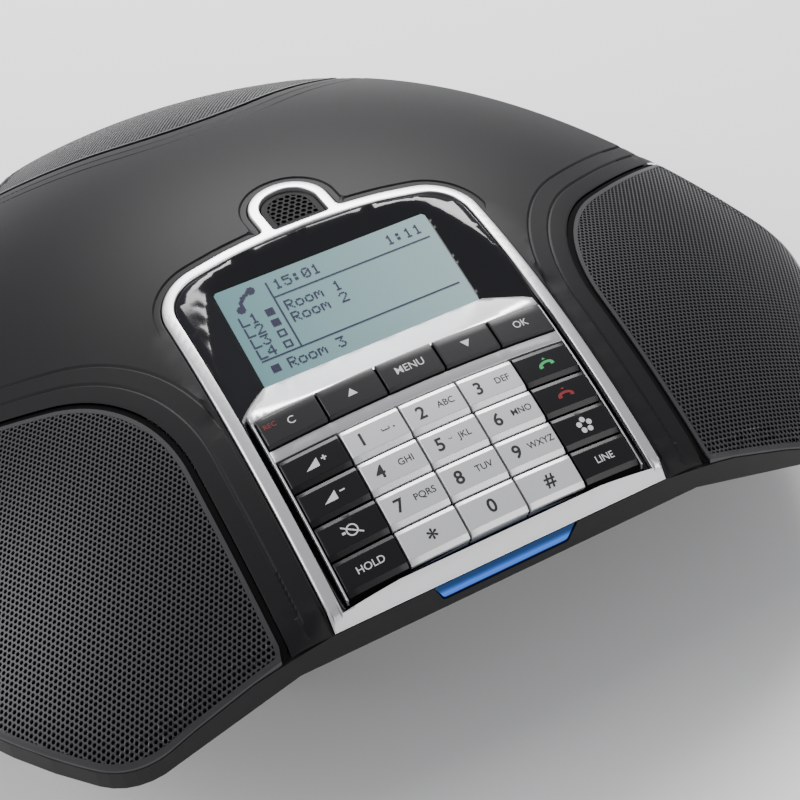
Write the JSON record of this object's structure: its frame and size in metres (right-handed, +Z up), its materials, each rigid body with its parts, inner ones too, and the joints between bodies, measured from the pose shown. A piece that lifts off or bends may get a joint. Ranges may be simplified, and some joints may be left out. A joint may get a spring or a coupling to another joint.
{
  "type": "conference speakerphone",
  "caption": "Three-lobed table conference phone: domed housing with three loudspeaker grilles, silver console with tilted display, spring keys, round microphone and lit windows.",
  "frame": {"origin": "middle of the bounding box on the table surface, under the feet", "axes": "+Z up; the keypad and display face -Y; the connectors face +Y"},
  "size_m": [0.232, 0.2088, 0.0761],
  "materials": {
    "zinc_steel": "zinc plated",
    "gloss_surround": "polished",
    "clear_window": "clear acrylic",
    "silver_key": "satin silver paint over plastic",
    "black_key": "satin",
    "function_key": "satin",
    "soft_rubber": "matt",
    "circuit_board": "green solder mask",
    "satin_frame": "satin silver paint",
    "light_diffuser": "white acrylic",
    "display_glass": "grey-green liquid crystal glass",
    "blue_guide": "tinted acrylic",
    "socket_plastic": "matt",
    "black_base": "matt",
    "dark_grille": "powder coated perforated sheet",
    "cone_paper": "coated paper",
    "magnet": "ferrite",
    "charcoal_casing": "fine matt texture"
  },
  "bodies": {
    "housing": {"case_screw_front_left": "zinc_steel", "case_screw_front_right": "zinc_steel", "case_screw_rear_left": "zinc_steel", "case_screw_rear_right": "zinc_steel", "display_bezel": "gloss_surround", "display_window": "clear_window", "key_mat": "soft_rubber", "keypad_board": "circuit_board", "keypad_plate": "satin_frame", "lcd_backlight": "light_diffuser", "lcd_module": "display_glass", "light_guide_front": "blue_guide", "light_guide_left": "blue_guide", "light_guide_right": "blue_guide", "line_socket": "socket_plastic", "lower_shell": "black_base", "main_board": "circuit_board", "mic_boot": "soft_rubber", "mic_grille": "dark_grille", "microphone": "zinc_steel", "microphone_socket_left": "socket_plastic", "microphone_socket_right": "socket_plastic", "panel_frame": "satin_frame", "power_socket": "socket_plastic", "rubber_foot_front_left": "soft_rubber", "rubber_foot_front_right": "soft_rubber", "rubber_foot_rear_left": "soft_rubber", "rubber_foot_rear_right": "soft_rubber", "speaker_basket": "zinc_steel", "speaker_cone": "cone_paper", "speaker_grille_left": "dark_grille", "speaker_grille_rear": "dark_grille", "speaker_grille_right": "dark_grille", "speaker_magnet": "magnet", "upper_shell": "charcoal_casing"},
    "key_0": {"key_0": "silver_key"},
    "key_1": {"key_1": "silver_key"},
    "key_2": {"key_2": "silver_key"},
    "key_3": {"key_3": "silver_key"},
    "key_4": {"key_4": "silver_key"},
    "key_5": {"key_5": "silver_key"},
    "key_6": {"key_6": "silver_key"},
    "key_7": {"key_7": "silver_key"},
    "key_8": {"key_8": "silver_key"},
    "key_9": {"key_9": "silver_key"},
    "key_answer": {"key_answer": "black_key"},
    "key_clear": {"key_clear": "function_key"},
    "key_conference": {"key_conference": "black_key"},
    "key_down": {"key_down": "function_key"},
    "key_hang_up": {"key_hang_up": "black_key"},
    "key_hash": {"key_hash": "silver_key"},
    "key_hold": {"key_hold": "black_key"},
    "key_line": {"key_line": "black_key"},
    "key_menu": {"key_menu": "function_key"},
    "key_mute": {"key_mute": "black_key"},
    "key_ok": {"key_ok": "function_key"},
    "key_star": {"key_star": "silver_key"},
    "key_up": {"key_up": "function_key"},
    "key_volume_down": {"key_volume_down": "black_key"},
    "key_volume_up": {"key_volume_up": "black_key"}
  },
  "joints": [
    {"name": "key_0_press", "type": "slide", "parent": "housing", "child": "key_0", "axis": [0, 0.3746, -0.9272], "range_m": [0, 0.0008], "stiffness_N_per_m": 600},
    {"name": "key_1_press", "type": "slide", "parent": "housing", "child": "key_1", "axis": [0, 0.3746, -0.9272], "range_m": [0, 0.0008], "stiffness_N_per_m": 600},
    {"name": "key_2_press", "type": "slide", "parent": "housing", "child": "key_2", "axis": [0, 0.3746, -0.9272], "range_m": [0, 0.0008], "stiffness_N_per_m": 600},
    {"name": "key_3_press", "type": "slide", "parent": "housing", "child": "key_3", "axis": [0, 0.3746, -0.9272], "range_m": [0, 0.0008], "stiffness_N_per_m": 600},
    {"name": "key_4_press", "type": "slide", "parent": "housing", "child": "key_4", "axis": [0, 0.3746, -0.9272], "range_m": [0, 0.0008], "stiffness_N_per_m": 600},
    {"name": "key_5_press", "type": "slide", "parent": "housing", "child": "key_5", "axis": [0, 0.3746, -0.9272], "range_m": [0, 0.0008], "stiffness_N_per_m": 600},
    {"name": "key_6_press", "type": "slide", "parent": "housing", "child": "key_6", "axis": [0, 0.3746, -0.9272], "range_m": [0, 0.0008], "stiffness_N_per_m": 600},
    {"name": "key_7_press", "type": "slide", "parent": "housing", "child": "key_7", "axis": [0, 0.3746, -0.9272], "range_m": [0, 0.0008], "stiffness_N_per_m": 600},
    {"name": "key_8_press", "type": "slide", "parent": "housing", "child": "key_8", "axis": [0, 0.3746, -0.9272], "range_m": [0, 0.0008], "stiffness_N_per_m": 600},
    {"name": "key_9_press", "type": "slide", "parent": "housing", "child": "key_9", "axis": [0, 0.3746, -0.9272], "range_m": [0, 0.0008], "stiffness_N_per_m": 600},
    {"name": "key_answer_press", "type": "slide", "parent": "housing", "child": "key_answer", "axis": [0, 0.3746, -0.9272], "range_m": [0, 0.0008], "stiffness_N_per_m": 600},
    {"name": "key_clear_press", "type": "slide", "parent": "housing", "child": "key_clear", "axis": [0, 0.3746, -0.9272], "range_m": [0, 0.0008], "stiffness_N_per_m": 600},
    {"name": "key_conference_press", "type": "slide", "parent": "housing", "child": "key_conference", "axis": [0, 0.3746, -0.9272], "range_m": [0, 0.0008], "stiffness_N_per_m": 600},
    {"name": "key_down_press", "type": "slide", "parent": "housing", "child": "key_down", "axis": [0, 0.3746, -0.9272], "range_m": [0, 0.0008], "stiffness_N_per_m": 600},
    {"name": "key_hang_up_press", "type": "slide", "parent": "housing", "child": "key_hang_up", "axis": [0, 0.3746, -0.9272], "range_m": [0, 0.0008], "stiffness_N_per_m": 600},
    {"name": "key_hash_press", "type": "slide", "parent": "housing", "child": "key_hash", "axis": [0, 0.3746, -0.9272], "range_m": [0, 0.0008], "stiffness_N_per_m": 600},
    {"name": "key_hold_press", "type": "slide", "parent": "housing", "child": "key_hold", "axis": [0, 0.3746, -0.9272], "range_m": [0, 0.0008], "stiffness_N_per_m": 600},
    {"name": "key_line_press", "type": "slide", "parent": "housing", "child": "key_line", "axis": [0, 0.3746, -0.9272], "range_m": [0, 0.0008], "stiffness_N_per_m": 600},
    {"name": "key_menu_press", "type": "slide", "parent": "housing", "child": "key_menu", "axis": [0, 0.3746, -0.9272], "range_m": [0, 0.0008], "stiffness_N_per_m": 600},
    {"name": "key_mute_press", "type": "slide", "parent": "housing", "child": "key_mute", "axis": [0, 0.3746, -0.9272], "range_m": [0, 0.0008], "stiffness_N_per_m": 600},
    {"name": "key_ok_press", "type": "slide", "parent": "housing", "child": "key_ok", "axis": [0, 0.3746, -0.9272], "range_m": [0, 0.0008], "stiffness_N_per_m": 600},
    {"name": "key_star_press", "type": "slide", "parent": "housing", "child": "key_star", "axis": [0, 0.3746, -0.9272], "range_m": [0, 0.0008], "stiffness_N_per_m": 600},
    {"name": "key_up_press", "type": "slide", "parent": "housing", "child": "key_up", "axis": [0, 0.3746, -0.9272], "range_m": [0, 0.0008], "stiffness_N_per_m": 600},
    {"name": "key_volume_down_press", "type": "slide", "parent": "housing", "child": "key_volume_down", "axis": [0, 0.3746, -0.9272], "range_m": [0, 0.0008], "stiffness_N_per_m": 600},
    {"name": "key_volume_up_press", "type": "slide", "parent": "housing", "child": "key_volume_up", "axis": [0, 0.3746, -0.9272], "range_m": [0, 0.0008], "stiffness_N_per_m": 600}
  ]
}
